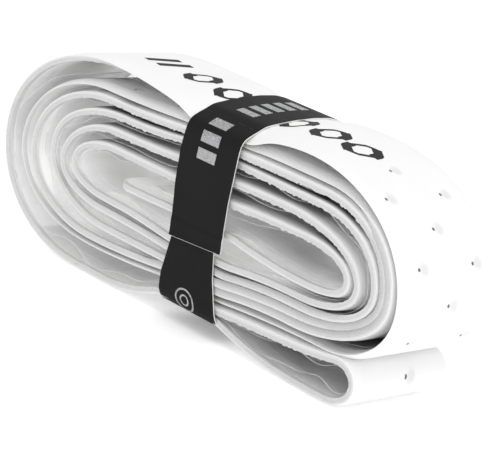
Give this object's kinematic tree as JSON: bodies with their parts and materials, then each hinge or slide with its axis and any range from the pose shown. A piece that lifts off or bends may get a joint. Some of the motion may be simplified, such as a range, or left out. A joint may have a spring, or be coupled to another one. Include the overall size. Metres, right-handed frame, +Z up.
{
  "type": "grip tape roll",
  "caption": "Replacement grip tape for a racket handle, wound flat into a roll with its felt side inwards and held at the waist by a paper belly band with a glued flap",
  "frame": {"origin": "on the surface that the roll lies on, under the middle of its box", "axes": "+X along the roll, +Y across the tape's width away from the flap, +Z up"},
  "size_m": [0.108, 0.0272, 0.0421],
  "materials": {
    "face": "smooth",
    "felt": "fibrous",
    "adhesive": "tacky",
    "liner": "clear",
    "paper": "satin paper",
    "glue": "dry"
  },
  "bodies": {
    "roll": {"face_layer": "face", "felt_backing": "felt", "adhesive_strip": "adhesive", "release_liner": "liner"},
    "band": {"belly_band": "paper", "glue_spot": "glue"},
    "flap": {"band_flap": "paper"}
  },
  "joints": [
    {"name": "band_slide", "type": "slide", "parent": "roll", "child": "band", "axis": [1, 0, 0], "range_m": [-0.001, 0.001]},
    {"name": "flap_crease", "type": "hinge", "parent": "band", "child": "flap", "pos_m": [0.00475, -0.01333, 0.04], "axis": [-1, 0, 0], "range_deg": [0, 120]}
  ]
}
